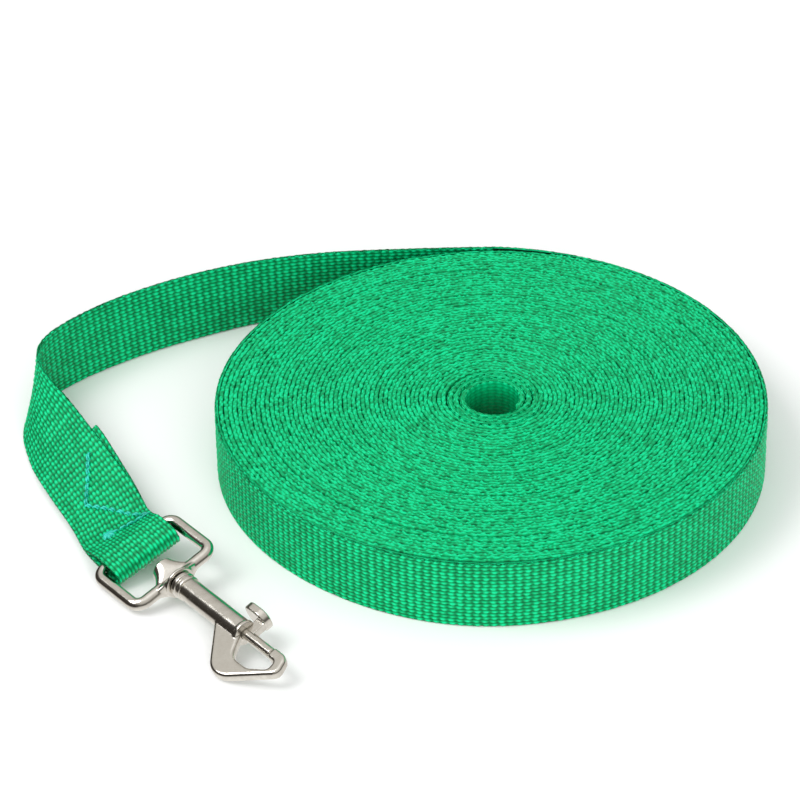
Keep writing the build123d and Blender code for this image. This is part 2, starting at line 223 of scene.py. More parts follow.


# %% [markdown]
# ## Building a ribbon
# Every stretch of the strap is the same kind of mesh: a ring of points round the strap's section, repeated
# along its line and joined by quads. Distance along the strap and place across it are kept as the piece's
# UV map in metres, and painted shading, darker where a point stands low in the weave, is kept as an
# attribute for the colour.

# %% Ribbon builder
def ring_mesh(name, points, painted_shading, u, v):
    """Closed mesh through rings of points; painted_shading, u and v have one value for each point."""
    rings, around = points.shape[:2]
    index = np.arange(rings * around).reshape(rings, around)
    beside = np.roll(index, -1, axis=1)
    quads = np.stack([index[:-1], beside[:-1], beside[1:], index[1:]], axis=-1).reshape(-1, 4)
    corners = quads.ravel()
    starts = np.arange(len(quads)) * 4
    caps = [index[0][::-1], index[-1]]
    mesh = bpy.data.meshes.new(name)
    mesh.vertices.add(rings * around)
    mesh.vertices.foreach_set("co", points.reshape(-1).astype(np.float32))
    corners = np.concatenate([corners, *caps])
    starts = np.concatenate([starts, [len(quads) * 4, len(quads) * 4 + around]])
    mesh.loops.add(len(corners))
    mesh.loops.foreach_set("vertex_index", corners.astype(np.int32))
    mesh.polygons.add(len(starts))
    mesh.polygons.foreach_set("loop_start", starts.astype(np.int32))
    uv = np.stack([u.ravel(), v.ravel()], axis=1)[corners]
    mesh.uv_layers.new(name="strap").data.foreach_set("uv", uv.reshape(-1).astype(np.float32))
    # Painted shading: how lit each point is painted, darker where it stands low.
    shading_layer = mesh.attributes.new("painted_shading", "FLOAT", "POINT")
    shading_layer.data.foreach_set("value", painted_shading.reshape(-1).astype(np.float32))
    mesh.polygons.foreach_set("use_smooth", np.ones(len(starts), bool))
    mesh.update(calc_edges=True)
    mesh.validate()
    piece = bpy.data.objects.new(name, mesh)
    bpy.context.scene.collection.objects.link(piece)
    print(name, len(starts), "faces")
    return piece


# %% [markdown]
# ## The weave
# The webbing has thick lengthwise yarns, side by side, over pairs of thin crosswise ones. Every lengthwise
# yarn rises over each pair and dips between one pair and the next, a little out of step with its
# neighbours, so the face is a grid of short rounded floats in ribs across the strap. It is modelled, not
# painted, because at this size every float catches its own highlight; shade is painted into the low places
# as well. The height at each point is that of the highest of the three nearest yarns.

# %% Weave height
ENDS = 19
END_PITCH = WIDTH / ENDS
PICK_PITCH = 2.15 * MM
YARN_RADIUS = 0.58 * MM
YARN_LIFT = 0.15 * MM
STAGGER = 0.55
FLOAT_FLATNESS = 0.65
SLACKEST_FLOAT = 0.72
FLOAT_SPREAD = 0.56
SAMPLES_PER_END = 3
SAMPLES_PER_PICK = 6


def scatter(a, b):
    """Repeatable value from 0 to 1 for each pair of whole numbers."""
    return np.modf(np.abs(np.sin(a * 12.9898 + b * 78.233)) * 43758.5453)[0]


def uneven_along(distance, length, kind):
    """Repeatable value from 0 to 1 that changes once in each length of strap; kind keeps uses apart."""
    return scatter(np.round(distance / length), kind)


def weave_height(distance, place, side):
    """Depth of the woven face below its highest point; side is 1 for the front face and -1 for the back."""
    nearest = np.round(place / END_PITCH)
    best = np.full(np.broadcast(distance, place).shape, -1.0)
    for step in (-1, 0, 1):
        yarn = nearest + step
        stagger = np.where(yarn % 2 == 0, 0.5, -0.5) * STAGGER / np.pi
        phase = distance / PICK_PITCH + stagger + (0.5 if side < 0 else 0)
        wave = 2 * (0.5 + 0.5 * np.cos(2 * np.pi * phase)) ** FLOAT_FLATNESS - 1
        firmness = SLACKEST_FLOAT + FLOAT_SPREAD * scatter(yarn, np.round(phase))
        wave = (wave + 1) * firmness - 1
        off = np.clip((place - yarn * END_PITCH) / YARN_RADIUS, -1, 1)
        height = YARN_LIFT * (wave - 1) + YARN_RADIUS * (np.sqrt(1 - off**2) - 1)
        best = np.maximum(best, np.where(np.abs(yarn) <= ENDS // 2, height, -1.0))
    return best


one_pick = np.linspace(0, PICK_PITCH, 40)[:, None]
one_width = np.linspace(-WIDTH / 2, WIDTH / 2, 400)[None, :]
print("weave relief", round(-weave_height(one_pick, one_width, 1).min() / MM, 2), "mm deep")


# %% Woven ribbon
SIDE_SHARES = np.array([[0.42, 0.25, 0.08, -0.08, -0.25, -0.42]])
SIDE_POINTS = SIDE_SHARES.size
# Painted shading of the strap's sides, how much it varies, and the depth over which the face is painted dark.
SIDE_SHADING = 0.9
SIDE_SHADING_SPREAD = 0.7
SHADING_DEPTH = 2.6 * YARN_LIFT
EDGE_DROP = 0.25 * MM
EDGE_ROUGH = 0.22 * MM
ROUGH_RUN = 0.5 * PICK_PITCH


def woven_ribbon(name, centres, across, face, distance, thick=THICK, back_woven=True, relief=1.0):
    """Ribbon with the weave in relief on its front, and on its back unless nobody can see it."""
    places = np.linspace(-WIDTH / 2, WIDTH / 2, ENDS * SAMPLES_PER_END + 1)
    along = distance[:, None]
    front = thick / 2 + relief * weave_height(along, places[None, :], 1)
    back_places = places[::-1] if back_woven else places[::-1][:: ENDS * SAMPLES_PER_END // 2]
    if back_woven:
        back = -thick / 2 - relief * weave_height(along, back_places[None, :], -1)
    else:
        back = np.full((len(distance), len(back_places)), -thick / 2 + YARN_LIFT)
    side_heights = SIDE_SHARES * thick
    roughness = uneven_along(along, ROUGH_RUN, np.arange(float(SIDE_POINTS))[None, :])
    right_places = WIDTH / 2 - EDGE_DROP * (2 * side_heights / thick) ** 2 - EDGE_ROUGH * roughness
    rows = len(distance)
    ring_across = np.concatenate(
        [
            np.broadcast_to(places, (rows, len(places))),
            right_places,
            np.broadcast_to(back_places, (rows, len(back_places))),
            -right_places[:, ::-1],
        ],
        axis=1,
    )
    side = np.broadcast_to(side_heights, (rows, SIDE_POINTS))
    ring_face = np.concatenate([front, side, back, side[:, ::-1]], axis=1)
    points = (
        centres[:, None, :]
        + across[:, None, :] * ring_across[:, :, None]
        + face[:, None, :] * ring_face[:, :, None]
    )
    # Painted shade: points deep in the weave are painted darker, and side points are painted darker where the
    # edge is pulled in.
    depth = thick / 2 - np.abs(ring_face)
    painted_shading = np.clip(1 - depth / SHADING_DEPTH, 0, 1)
    side_shading = SIDE_SHADING - SIDE_SHADING_SPREAD * roughness
    painted_shading[:, len(places) : len(places) + SIDE_POINTS] = side_shading
    painted_shading[:, -SIDE_POINTS:] = side_shading[:, ::-1]
    u = np.broadcast_to(along, ring_across.shape)
    v = ring_across + np.where(ring_face < 0, 2 * WIDTH, 0)
    return ring_mesh(name, points[:, ::-1], painted_shading[:, ::-1], u[:, ::-1], v[:, ::-1])


# %% [markdown]
# ## The roll
# The roll is one long spiral. Separate closed rings would be easier, but real webbing steps inwards as it
# winds, and the eye follows that. The outermost turn shows its woven face, so it is a woven ribbon.
# The spiral isn't a perfect one: the roll bulges on one side, its outer turn stands slack on another, and
# no turn is quite as high as its neighbour, which gives the top its uneven rings.

# %% The roll's spiral
LEAVE_ANGLE = math.atan2(ROUTE[0][1], ROUTE[0][0])
OUTER_LINE = ROLL_RADIUS - THICK / 2
CORE_EDGE = 12.4 * MM
TURNS = (OUTER_LINE - CORE_EDGE - 0.5 * THICK) / PITCH
OUTER_TURNS = 1.03
PEEL = math.hypot(*ROUTE[0]) - OUTER_LINE
PEEL_TURN = 0.09
SLACK = 0.8 * MM
SLACK_SIDE = math.radians(222)
SLACK_SPREAD = 0.36
OVAL = 1.9 * MM
OVAL_SIDE = math.radians(140)
OVAL_SPREAD = 0.7
UNEVEN = 0.05
TURN_HEIGHTS = 64
LOW_TURNS = [9, 24, 38]
LOW_BY = 0.16 * MM
dice = np.random.default_rng(11)
turn_height = dice.normal(0, UNEVEN, TURN_HEIGHTS) * MM
turn_height[LOW_TURNS] -= LOW_BY
turn_height[:2] = 0


def swell(angle, side, spread):
    """Smooth bulge from 0 to 1 that is highest on one side of the roll."""
    away = np.angle(np.exp(1j * (angle - side)))
    return np.exp(-((away / spread) ** 2))


def spiral_radius(turn):
    """Radius of the strap's middle after this many turns inwards from where it leaves the roll."""
    peel = PEEL * np.clip(1 - turn / PEEL_TURN, 0, 1) ** 2
    angle = LEAVE_ANGLE - 2 * np.pi * turn
    slack = SLACK * swell(angle, SLACK_SIDE, SLACK_SPREAD) * (turn < 1)
    wound = OUTER_LINE - PITCH * turn
    oval = OVAL * swell(angle, OVAL_SIDE, OVAL_SPREAD) * (wound / OUTER_LINE) ** 2
    return wound + peel + slack + oval


STEP_FROM = 0.7
RIPPLE = 0.05 * MM
RIPPLE_WAVES = 3
RIPPLE_SHIFT = 51


def spiral_frames(turns):
    """Centres, width directions and face directions of the strap at these turns inwards."""
    angle = LEAVE_ANGLE - 2 * np.pi * turns
    outward = np.stack([np.cos(angle), np.sin(angle), np.zeros(len(turns))], axis=1)
    lower = np.floor(turns).astype(int)
    share = np.clip((turns - lower - STEP_FROM) / (1 - STEP_FROM), 0, 1)
    share = share * share * (3 - 2 * share)
    height = turn_height[lower] * (1 - share) + turn_height[lower + 1] * share
    ripple = RIPPLE * np.sin(RIPPLE_WAVES * angle + RIPPLE_SHIFT * turn_height[lower] / MM)
    centres = outward * spiral_radius(turns)[:, None]
    centres[:, 2] = WIDTH / 2 + height + np.where(turns > 1, ripple, 0)
    across = np.tile([0.0, 0.0, 1.0], (len(turns), 1))
    return centres, across, outward


TURN_SAMPLES = 60001
turn_scale = np.linspace(0, TURNS, TURN_SAMPLES)
middle_radius = spiral_radius((turn_scale[1:] + turn_scale[:-1]) / 2)
turn_length = np.concatenate([[0], np.cumsum(2 * np.pi * middle_radius * np.diff(turn_scale))])
print("wound strap", round(turn_length[-1], 3), "m in", round(TURNS, 1), "turns")


# %% The outer turn
outer_length = np.interp(OUTER_TURNS, turn_scale, turn_length)
outer_distance = np.arange(0, outer_length, PICK_PITCH / SAMPLES_PER_PICK)
outer_turns = np.interp(outer_distance, turn_length, turn_scale)
outer_turn = woven_ribbon(
    "roll_outer_turn",
    *[rows[::-1] for rows in spiral_frames(outer_turns)],
    -outer_distance[::-1],
    back_woven=False,
)
print("outer turn", round(outer_length, 3), "m")


# %% [markdown]
# ## The inner turns
# Of the other turns only the upper edge shows. A woven face on each would be millions of faces that nobody
# sees, so their section has two plain walls between two modelled edges. An edge has two rows of small
# bumps, where the outermost yarn turns over and under, and rounded corners that leave a groove between one
# turn and the next; the groove is darkened by painted shade as well as its own, each bump gets a painted
# highlight, and the lower edge is painted in shade. Values scattered along the strap make the bumps uneven.

# %% The inner turns
EDGE_SAMPLES = np.array([0.5, 0.34, 0.14, -0.14, -0.34, -0.5])
EDGE_STEP = 0.56 * MM
EDGE_WANDER = 0.30 * MM
WANDER_RUN = 0.7 * PICK_PITCH
EDGE_UNEVEN = 0.34 * MM
UNEVEN_RUN = 0.4 * PICK_PITCH
LOWER_EDGE_RISE = 0.3 * MM
CORNER_DROP = 0.10 * MM
CORNER_POWER = 2.2
BUMP = 0.34 * MM
BUMP_POWER = 1.3
BUMP_PLACE = 0.24
BUMP_SPREAD = 0.2
BUMPS_PER_PICK = 1.8
SLACKEST_BUMP = 0.25
BUMP_FIRMNESS = 1.3
OUT_OF_STEP = 0.9
STEP_RUN = 7 * PICK_PITCH
# Painted shade in the groove, painted light on the top edge and bumps, painted shade on the lower edge.
GROOVE_SHADE = 0.62
TOP_EDGE_SHADING = 0.55
BUMP_HIGHLIGHT = 0.6
LOWER_EDGE_SHADING = 0.3
SPECKLE = 0.5
SPECKLE_RUN = 0.3 * PICK_PITCH


def edge_ribbon(name, turns, distance, thick=THICK):
    """Ribbon that has only its two edges modelled, for turns that are packed between others."""
    centres, across, face = spiral_frames(turns)
    shuffle = OUT_OF_STEP * uneven_along(distance, STEP_RUN, 9.0)
    wave = np.cos(BUMPS_PER_PICK * np.pi * distance / PICK_PITCH + shuffle)[:, None]
    lift = EDGE_UNEVEN * (uneven_along(distance, UNEVEN_RUN, 6.0) - 0.5)[:, None]
    places = EDGE_SAMPLES[None, :]
    firmness = SLACKEST_BUMP + BUMP_FIRMNESS * uneven_along(distance, PICK_PITCH, 3.0)[:, None]
    beside_bump = (places - BUMP_PLACE * np.sign(wave)) / BUMP_SPREAD
    bump = np.abs(wave) ** BUMP_POWER * np.exp(-(beside_bump**2)) * firmness
    rounded = WIDTH / 2 - CORNER_DROP * (2 * np.abs(places)) ** CORNER_POWER
    top = rounded + BUMP * (bump - 0.5) + lift
    bottom = LOWER_EDGE_RISE - rounded
    ring_across = np.concatenate([top, np.broadcast_to(bottom[:, ::-1], top.shape)], axis=1)
    wander = EDGE_WANDER * (uneven_along(distance, WANDER_RUN, 8.0) - 0.5)[:, None]
    ring_face = np.concatenate([EDGE_SAMPLES, EDGE_SAMPLES[::-1]])[None, :] * thick + wander
    points = (
        centres[:, None, :]
        + across[:, None, :] * ring_across[:, :, None]
        + face[:, None, :] * ring_face[:, :, None]
    )
    # Painted shade darkens the rounded corners, in the groove between turns, each bump gets a painted
    # highlight, and the lower edge is painted darker.
    painted_groove = 1 - GROOVE_SHADE * (2 * np.abs(places)) ** 3
    speckle = SPECKLE * (uneven_along(distance, SPECKLE_RUN, 4.0) - 0.5)[:, None]
    top_shading = np.clip(TOP_EDGE_SHADING * painted_groove + BUMP_HIGHLIGHT * bump + speckle, 0, 1)
    painted_shading = np.concatenate([top_shading, np.broadcast_to(LOWER_EDGE_SHADING * painted_groove[:, ::-1], top.shape)], axis=1)
    u = np.broadcast_to(distance[:, None], ring_across.shape)
    return ring_mesh(name, points, painted_shading, u, ring_across + ring_face)


INNER_PIECES = 4
OVERLAP_WITH_OUTER = 1.5 * MM
inner_distance = np.arange(outer_length - OVERLAP_WITH_OUTER, turn_length[-1], EDGE_STEP)
wound_pieces = [outer_turn]
for number, part in enumerate(np.array_split(inner_distance, INNER_PIECES)):
    part = np.append(part, part[-1] + EDGE_STEP) if number < INNER_PIECES - 1 else part
    turns = np.interp(part, turn_length, turn_scale)
    wound_pieces.append(edge_ribbon(f"roll_turns_{number + 1}", turns, part))

# %% [markdown]
# ## The core
# At the core the hand loop is wound up doubled, round an open hole. Its two layers lie so close that they
# wind like one thicker strap, so it is one woven ribbon with a thicker section and a lower relief. On one
# side it draws in from the turns round it, which leaves a thin dark gap. The light is lost down the hole, so
# shade is painted there: the painted shading is turned down with depth.

# %% The hand loop at the core
HANDLE_THICK = 1.62 * MM
HANDLE_RELIEF = 0.45
HANDLE_TURNS = 3.1
HANDLE_SAMPLES = 560
HANDLE_RADIUS = 12.65
FIRST_TURN_IN = 1.3
TURN_IN = 1.85
CORE_GAP = 0.35 * MM
CORE_GAP_SIDE = math.radians(105)
CORE_GAP_SPREAD = 0.7
HANDLE_UNEVEN = 0.07 * MM
HOLE_RADIUS = 8.6 * MM
HOLE_SHADE = 0.97
handle_turns = np.linspace(0, HANDLE_TURNS, HANDLE_SAMPLES)
handle_angle = LEAVE_ANGLE - 2 * np.pi * TURNS - 2 * np.pi * handle_turns
wound_in = FIRST_TURN_IN * np.clip(handle_turns, 0, 1) + TURN_IN * np.clip(handle_turns - 1, 0, None)
handle_radius = (HANDLE_RADIUS - wound_in) * MM
gap = CORE_GAP * swell(handle_angle, CORE_GAP_SIDE, CORE_GAP_SPREAD)
handle_radius -= gap * np.clip(handle_turns / 0.2, 0, 1)
handle_outward = np.stack([np.cos(handle_angle), np.sin(handle_angle), 0 * handle_angle], axis=1)
handle_centres = handle_outward * handle_radius[:, None]
handle_centres[:, 2] = WIDTH / 2 + HANDLE_UNEVEN * (np.sin(2 * handle_angle) + 1)
handle_distance = run_lengths(handle_centres)
handle_piece = woven_ribbon(
    "handle_turns",
    handle_centres[::-1],
    np.tile([0.0, 0.0, 1.0], (len(handle_turns), 1)),
    handle_outward[::-1],
    -handle_distance[::-1],
    thick=HANDLE_THICK,
    relief=HANDLE_RELIEF,
)
wound_pieces.append(handle_piece)
# Painted shade down the hole: the lower a point lies there, the darker it is painted.
hole_shading = handle_piece.data.attributes["painted_shading"]
for vertex, value in zip(handle_piece.data.vertices, hole_shading.data):
    if math.hypot(vertex.co.x, vertex.co.y) < HOLE_RADIUS:
        value.value *= 1 - HOLE_SHADE * max(0.0, 1 - vertex.co.z / WIDTH) ** 0.5

# %% [markdown]
# ## The free end and its sewn loop
# Here the strap goes on from the roll. Two flat pieces and a tube would show their joins, so it is one woven
# ribbon, as the strap was sewn: along the floor, over the eye's far bar, round it in a half circle and back
# under itself to its cut end. The lower layer drifts a little to one side, as a hand-laid fold does.

# %% The free end
STEPS_PER_PICK = 5.5
STEP = PICK_PITCH / STEPS_PER_PICK
DRIFT = 1.5 * MM
DRIFT_FROM = 20 * MM
DRIFT_OVER = 25 * MM
upper_distance = np.arange(0, LINE_LENGTH, STEP)
upper = strap_frames(upper_distance, 1)
loop_steps = int(math.pi * LOOP_RADIUS / STEP)
loop_angle = np.linspace(0, np.pi, loop_steps)[:, None]
end_centre, end_across, end_face = [rows[-1] for rows in strap_frames(np.array([LINE_LENGTH]), 1)]
end_along = np.cross(end_across, end_face)
bar_side = end_centre - end_face * LOOP_RADIUS
loop_face = end_face * np.cos(loop_angle) + end_along * np.sin(loop_angle)
loop = (bar_side + loop_face * LOOP_RADIUS, np.tile(end_across, (loop_steps, 1)), loop_face)
lower_distance = np.arange(LINE_LENGTH - STEP, LINE_LENGTH - OVERLAP, -STEP)
lower = strap_frames(lower_distance, -1)
drift = DRIFT * np.clip((LINE_LENGTH - lower_distance - DRIFT_FROM) / DRIFT_OVER, 0, 1)
lower = (lower[0] + lower[1] * drift[:, None], lower[1], -lower[2])
chain = [np.concatenate(rows) for rows in zip(upper, loop, lower)]
chain_distance = run_lengths(chain[0])
free_end = woven_ribbon("strap_free_end", *chain, chain_distance)

# %% [markdown]
# ## Stitching
# The loop is closed by a zigzag of bonded thread, in two rows side by side. A line painted on the strap
# would lie flat, so each stitch is its own short bead of thread that dips into the weave at both ends. Near
# the eye the thread is sewn back and forth on one spot, which leaves a raised knot of crossing stitches.

# %% Stitches
THREAD_RADIUS = 0.27 * MM
STITCH_LENGTH = 2.6 * MM
SEAM_CORNERS = [(42.4, 5.3), (27.9, -3.6), (11.2, 9.0), (12.8, -2.7)]
ROW_OFFSET = 0.3
SHORTEST_STITCH = 0.45
STITCH_SPREAD = 0.4
STITCH_SHARES = (0, 0.08, 0.5, 0.92, 1)
STITCH_LIFTS = (-0.5, 0.1, 0.32, 0.1, -0.5)
KNOT_CENTRE = (12.8, -2.7)
KNOT_STITCHES = 12
KNOT_TURN = 2.4
KNOT_REACH = 1.3
KNOT_SPREAD = 0.8
KNOT_FLATNESS = 0.8
KNOT_THREAD = 1.3


def on_upper_face(to_go, place, lift):
    """Point on the upper layer's face, from the distance left to the loop and the place across."""
    centre, across, face = [rows[0] for rows in strap_frames(np.array([LINE_LENGTH - to_go]), 1)]
    return centre + across * place + face * (THICK / 2 + lift)


def stitch(name, start, end, radius=THREAD_RADIUS):
    """Bead of thread between two (distance to the loop, place across) points, in millimetres."""
    curve = bpy.data.curves.new(name, "CURVE")
    curve.dimensions = "3D"
    curve.bevel_depth = radius
    curve.bevel_resolution = 2
    curve.use_fill_caps = True
    spline = curve.splines.new("NURBS")
    spline.points.add(4)
    for control, share, lift in zip(spline.points, STITCH_SHARES, STITCH_LIFTS):
        to_go = start[0] + share * (end[0] - start[0])
        place = start[1] + share * (end[1] - start[1])
        control.co = (*on_upper_face(to_go * MM, place * MM, lift * MM), 1.0)
    spline.order_u = 3
    spline.use_endpoint_u = True
    piece = bpy.data.objects.new(name, curve)
    bpy.context.scene.collection.objects.link(piece)
    return piece


def joined(name, pieces):
    """One mesh made of these pieces."""
    bpy.ops.object.select_all(action="DESELECT")
    for piece in pieces:
        piece.select_set(True)
    bpy.context.view_layer.objects.active = pieces[0]
    bpy.ops.object.convert(target="MESH")
    bpy.ops.object.join()
    bpy.context.object.name = name
    return bpy.context.object


# %% The seam
beads = []
for leg, (start, end) in enumerate(zip(SEAM_CORNERS, SEAM_CORNERS[1:])):
    ahead = (end[0] - start[0], end[1] - start[1])
    count = max(1, round(math.dist(start, end) / (STITCH_LENGTH / MM)))
    for number in range(count):
        stitch_share = SHORTEST_STITCH + STITCH_SPREAD * scatter(np.float64(number), leg + 2.0)
        a = number / count
        b = (number + stitch_share) / count
        for row in (-ROW_OFFSET, ROW_OFFSET):
            first = (start[0] + a * ahead[0], start[1] + a * ahead[1] + row)
            last = (start[0] + b * ahead[0], start[1] + b * ahead[1] + row)
            beads.append(stitch(f"stitch_{leg}_{number}", first, last))
for number in range(KNOT_STITCHES):
    reach = KNOT_REACH + KNOT_SPREAD * scatter(np.float64(number), 5.0)
    along_strap = reach * math.cos(number * KNOT_TURN) * KNOT_FLATNESS
    across_strap = reach * math.sin(number * KNOT_TURN)
    first = (KNOT_CENTRE[0] + along_strap, KNOT_CENTRE[1] + across_strap)
    last = (KNOT_CENTRE[0] - along_strap, KNOT_CENTRE[1] - across_strap)
    beads.append(stitch(f"knot_{number}", first, last, radius=THREAD_RADIUS * KNOT_THREAD))
stitching = joined("seam_stitches", beads)
print("stitches", len(beads))

# %% [markdown]
# ## The snap's metal pieces
# The snap's eye and body are zinc castings under bright plating, which rounds every edge and fills every
# inner corner a little. The CAD solids have the right sizes but crisp edges. A bevel would stumble over
# their many small faces, so each solid is copied, merged, remeshed at a fine voxel size and smoothed a few
# times, which gives a soft plated skin all over.


# %% Cast and plated pieces
MERGE_DISTANCE = 0.001 * MM
SMOOTH_FACTOR = 0.5


def plated(node, name, voxel, smoothing):
    """Soft-edged copy of a CAD node."""
    bpy.ops.object.select_all(action="DESELECT")
    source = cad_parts[node]
    piece = bpy.data.objects.new(name, source.data.copy())
    bpy.context.scene.collection.objects.link(piece)
    bpy.context.view_layer.objects.active = piece
    piece.select_set(True)
    bpy.ops.object.mode_set(mode="EDIT")
    bpy.ops.mesh.select_all(action="SELECT")
    bpy.ops.mesh.remove_doubles(threshold=MERGE_DISTANCE)
    bpy.ops.object.mode_set(mode="OBJECT")
    remesh = piece.modifiers.new("skin", "REMESH")
    remesh.mode = "VOXEL"
    remesh.voxel_size = voxel
    smooth = piece.modifiers.new("soften", "SMOOTH")
    smooth.factor = SMOOTH_FACTOR
    smooth.iterations = smoothing
    for modifier in ("skin", "soften"):
        bpy.ops.object.modifier_apply(modifier=modifier)
    bpy.ops.object.shade_smooth()
    print(name, len(piece.data.polygons), "faces")
    return piece


# CAD node: the new piece's name, its voxel size, its passes of smoothing, and the body it rides on
METAL = {
    "swivel_eye": ("eye_casting", 0.16 * MM, 9, "eye"),
    "snap_body": ("snap_casting", 0.15 * MM, 12, "hook"),
    "swivel_stud": ("stud_turned", 0.12 * MM, 2, "hook"),
    "bolt": ("bolt_pin", 0.11 * MM, 2, "bolt"),
    "thumb_knob": ("knob_casting", 0.10 * MM, 7, "bolt"),
}
metal_pieces = {}
for node, (name, voxel, smoothing, _) in METAL.items():
    metal_pieces[node] = plated(node, name, voxel, smoothing)

# %% [markdown]
# ## The spring
# The spring hides in the barrel and has to get shorter when the bolt comes back. A copy of the CAD coil is
# enough for a piece that nobody sees.

# %% The spring
spring = bpy.data.objects.new("spring_coil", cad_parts["bolt_spring"].data.copy())
bpy.context.scene.collection.objects.link(spring)
spring_low, spring_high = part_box("bolt_spring")
print("spring length", round((spring_high.y - spring_low.y) / MM, 2), "mm")


# %% [markdown]
# ## Shader helpers
# A material is a graph of nodes. These short helpers add a node, set its inputs and join it up, so that each
# finish below reads as a short list.

# %% Shader helpers
def add_node(tree, kind, settings=None, **inputs):
    """Adds a node; an input, given by name or as i0, i1, is a value or the output of another node."""
    node = tree.nodes.new(kind)
    for key, value in (settings or {}).items():
        setattr(node, key, value)
    for key, value in inputs.items():
        numbered = key[0] == "i" and key[1:].isdigit()
        socket = node.inputs[int(key[1:]) if numbered else key.replace("_", " ")]
        if isinstance(value, bpy.types.NodeSocket):
            tree.links.new(value, socket)
        else:
            socket.default_value = value
    return node


def maths(tree, operation, *values):
    """Output of a Math node; a value is a number or the output of another node."""
    inputs = {f"i{number}": value for number, value in enumerate(values)}
    return add_node(tree, "ShaderNodeMath", {"operation": operation}, **inputs).outputs[0]


def ramp(tree, factor, stops):
    """Colour ramp with (place, colour) stops."""
    node = tree.nodes.new("ShaderNodeValToRGB")
    while len(node.color_ramp.elements) < len(stops):
        node.color_ramp.elements.new(0.5)
    for element, (place, colour) in zip(node.color_ramp.elements, stops):
        element.position = place
        element.color = (*colour, 1.0)
    tree.links.new(factor, node.inputs["Fac"])
    return node.outputs["Color"]


def new_group(name, inputs, outputs):
    """Empty shader group with its inlet and outlet; each socket is given as name: kind."""
    group = bpy.data.node_groups.new(name, "ShaderNodeTree")
    for way, sockets in (("INPUT", inputs), ("OUTPUT", outputs)):
        for socket_name, kind in sockets.items():
            group.interface.new_socket(socket_name, in_out=way, socket_type="NodeSocket" + kind)
    return group, group.nodes.new("NodeGroupInput"), group.nodes.new("NodeGroupOutput")


def new_material(name):
    """Empty material with its Principled shader."""
    material = bpy.data.materials.new(name)
    material.use_nodes = True
    return material, material.node_tree, material.node_tree.nodes["Principled BSDF"]


# %% [markdown]
# ## Yarn
# Webbing and thread are both bundles of fine shiny filaments, far too many to model. So a shared group
# stretches a noise along the place that it is given, the strap's UV map or the thread's own coordinates, and
# puts out streaks, as a mask for the colour and a height for the bump.

# %% Yarn group
FILAMENT_SCALE = (700.0, 5200.0, 1.0)
FILAMENT_TWIST = 0.35
PATCH_SCALE = 160.0


def yarn_group():
    """Streaks of filaments along a place in metres: a mask and a height."""
    group, inlet, outlet = new_group(
        "yarn", {"Vector": "Vector", "Fineness": "Float"}, {"Mask": "Float", "Height": "Float"}
    )
    place = inlet.outputs["Vector"]
    along_yarn = add_node(
        group, "ShaderNodeMapping", None, Vector=place, Scale=FILAMENT_SCALE, Rotation=(0, 0, FILAMENT_TWIST)
    ).outputs[0]
    streaks = add_node(
        group, "ShaderNodeTexNoise", None, Vector=along_yarn, Scale=inlet.outputs["Fineness"], Detail=3.0
    ).outputs[0]
    patches = add_node(
        group, "ShaderNodeTexNoise", None, Vector=place, Scale=PATCH_SCALE, Detail=2.0
    ).outputs[0]
    mixed = maths(group, "MULTIPLY", streaks, patches)
    group.links.new(maths(group, "MULTIPLY", mixed, 2.0), outlet.inputs["Mask"])
    group.links.new(streaks, outlet.inputs["Height"])
    return group


YARN = yarn_group()


def add_bump(tree, shader, height, strength, depth):
    """Joins a height to a shader's normal."""
    bump = add_node(tree, "ShaderNodeBump", None, Strength=strength, Distance=depth, Height=height)
    tree.links.new(bump.outputs[0], shader.inputs["Normal"])


def use_group(tree, group, **inputs):
    """Places a shared group in a material, with its own values."""
    node = tree.nodes.new("ShaderNodeGroup")
    node.node_tree = group
    for key, value in inputs.items():
        if isinstance(value, bpy.types.NodeSocket):
            tree.links.new(value, node.inputs[key])
        else:
            node.inputs[key].default_value = value
    return node


# %% [markdown]
# ## Green webbing
# Polypropylene webbing is dyed through and slightly glossy. Its floats are a clear emerald green, and the
# light is lost between them, so the gaps are painted a deep, shaded green. One flat colour would look like
# plastic, so the painted shading attribute drives a ramp from shaded to lit green, and the filaments break it
# up.

# %% Green webbing
STREAK_SHARE = 0.3
# From painted shade in the gaps to painted light on the crests.
SHADED_GREENS = [
    (0.0, (0.0, 0.05, 0.014)),
    (0.35, (0.0, 0.215, 0.070)),
    (0.75, (0.0, 0.445, 0.157)),
    (1.0, (0.003, 0.64, 0.27)),
]


def webbing_material():
    """Woven green webbing."""
    material, tree, shader = new_material("green_webbing")
    uv = add_node(tree, "ShaderNodeUVMap", {"uv_map": "strap"})
    painted_shading = add_node(tree, "ShaderNodeAttribute", {"attribute_name": "painted_shading"})
    yarn = use_group(tree, YARN, Vector=uv.outputs[0], Fineness=1.0)
    # Painted shading from the attribute, with filament streaks added, picks the green from the ramp.
    height = maths(tree, "MULTIPLY_ADD", yarn.outputs["Mask"], STREAK_SHARE, painted_shading.outputs["Fac"])
    colour = ramp(tree, height, SHADED_GREENS)
    tree.links.new(colour, shader.inputs["Base Color"])
    shader.inputs["Roughness"].default_value = 0.42
    shader.inputs["Specular IOR Level"].default_value = 0.15
    add_bump(tree, shader, yarn.outputs["Height"], strength=0.35, depth=0.08 * MM)
    return material


GREEN = webbing_material()

# %% [markdown]
# ## Sewing thread
# The seam is sewn with bonded thread in a bluer green than the webbing. It is glossier, so each stitch shows
# as a small bright dash. The same yarn group gives it its filaments, a little coarser.


